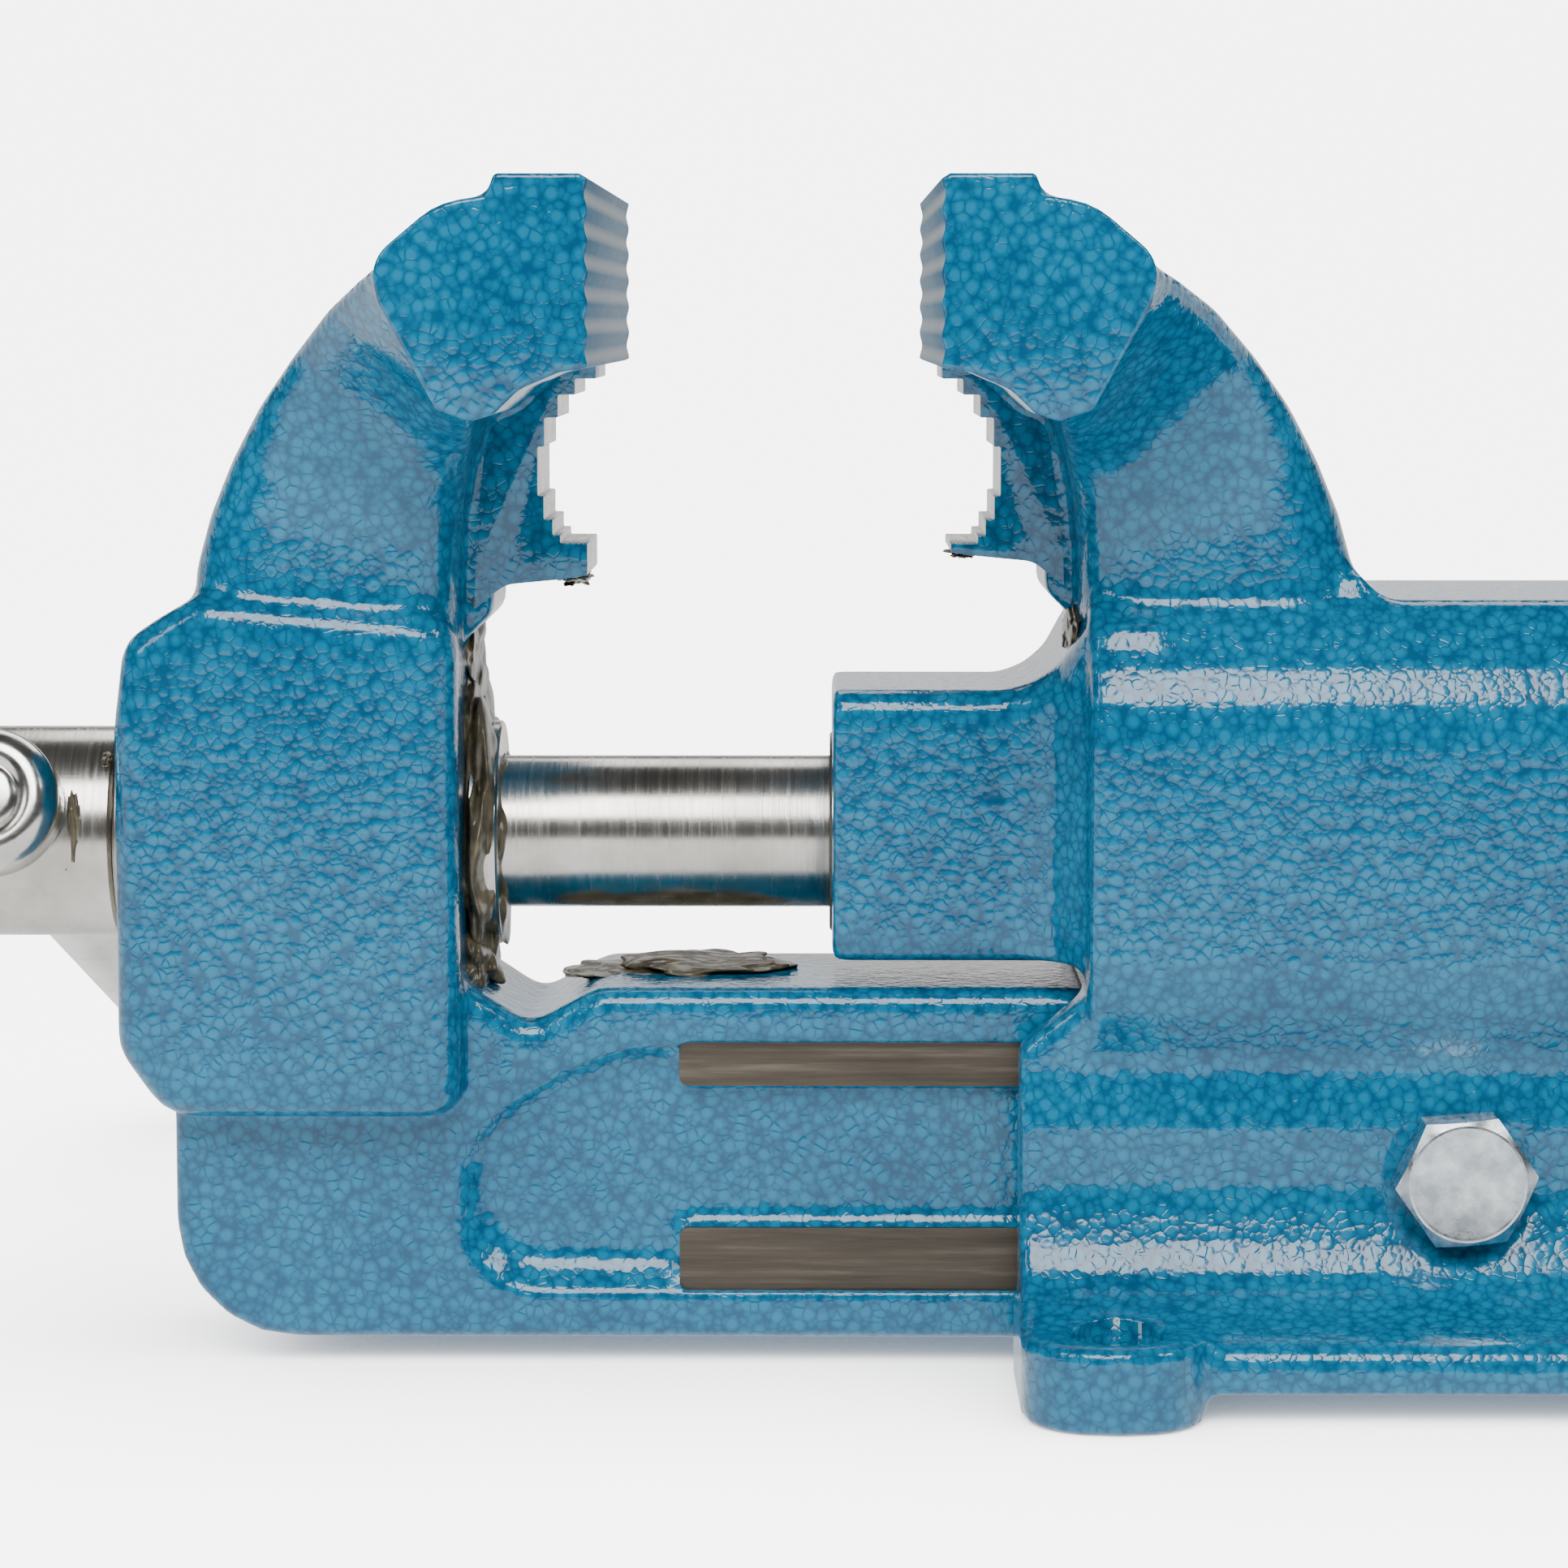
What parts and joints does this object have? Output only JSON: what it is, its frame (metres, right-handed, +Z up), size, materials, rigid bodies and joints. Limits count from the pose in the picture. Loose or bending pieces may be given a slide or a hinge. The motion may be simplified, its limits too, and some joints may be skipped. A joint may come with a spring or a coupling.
{
  "type": "bench vise",
  "caption": "Forged bench vise with pipe jaws: a screw with a sliding cross handle drives the moving jaw's slide through a bolted-down body.",
  "frame": {"origin": "centre of the fixed jaw's flat gripping face", "axes": "+X into the fixed jaw, away from the moving jaw, +Y along the jaws to the far side, +Z up; the bench is at Z = -0.1454 m"},
  "size_m": [0.3117, 0.2305, 0.1557],
  "materials": {
    "hammered_enamel": "glossy blue hammered enamel",
    "turned_steel": "fine turned rings, lightly oiled",
    "ground_steel": "ground and greased",
    "drawn_steel": "drawn bar, smooth",
    "polished_steel": "turned and polished",
    "spring_steel": "dark oiled spring steel",
    "black_steel": "black oxide",
    "bronze": "machined bronze",
    "zinc_plate": "bright zinc plate"
  },
  "bodies": {
    "fixed_body": {"fixed_jaw_body": "hammered_enamel", "tube_wiper_ring": "ground_steel", "spindle_nut": "bronze", "nut_key": "ground_steel", "nut_set_screw": "black_steel", "nut_retaining_ring": "spring_steel", "guide_gib_near": "ground_steel", "guide_gib_far": "ground_steel", "gib_dowel_near": "ground_steel", "gib_dowel_far": "ground_steel", "side_bolt_near": "zinc_plate", "side_bolt_far": "zinc_plate"},
    "moving_jaw": {"moving_jaw_body": "hammered_enamel", "spindle_bush": "bronze"},
    "spindle": {"spindle": "turned_steel", "thrust_washer": "ground_steel", "spindle_collar": "turned_steel", "collar_roll_pin": "spring_steel"},
    "handle": {"handle_bar": "drawn_steel", "handle_cap_near": "polished_steel", "handle_cap_far": "polished_steel"}
  },
  "joints": [
    {"name": "jaw_slide", "type": "slide", "parent": "fixed_body", "child": "moving_jaw", "axis": [-1, 0, 0], "range_m": [-0.0424, 0.1073]},
    {"name": "spindle_turn", "type": "hinge", "parent": "moving_jaw", "child": "spindle", "pos_m": [-0.1242, 0, -0.0762], "axis": [-1, 0, 0], "range_deg": [-1908, 4828]},
    {"name": "handle_slide", "type": "slide", "parent": "spindle", "child": "handle", "axis": [0, -0.9511, 0.309], "range_m": [0, 0.1534]}
  ],
  "couplings": [
    {"joint": "jaw_slide", "follows": "spindle_turn", "m_per_rad": 0.0012732}
  ]
}
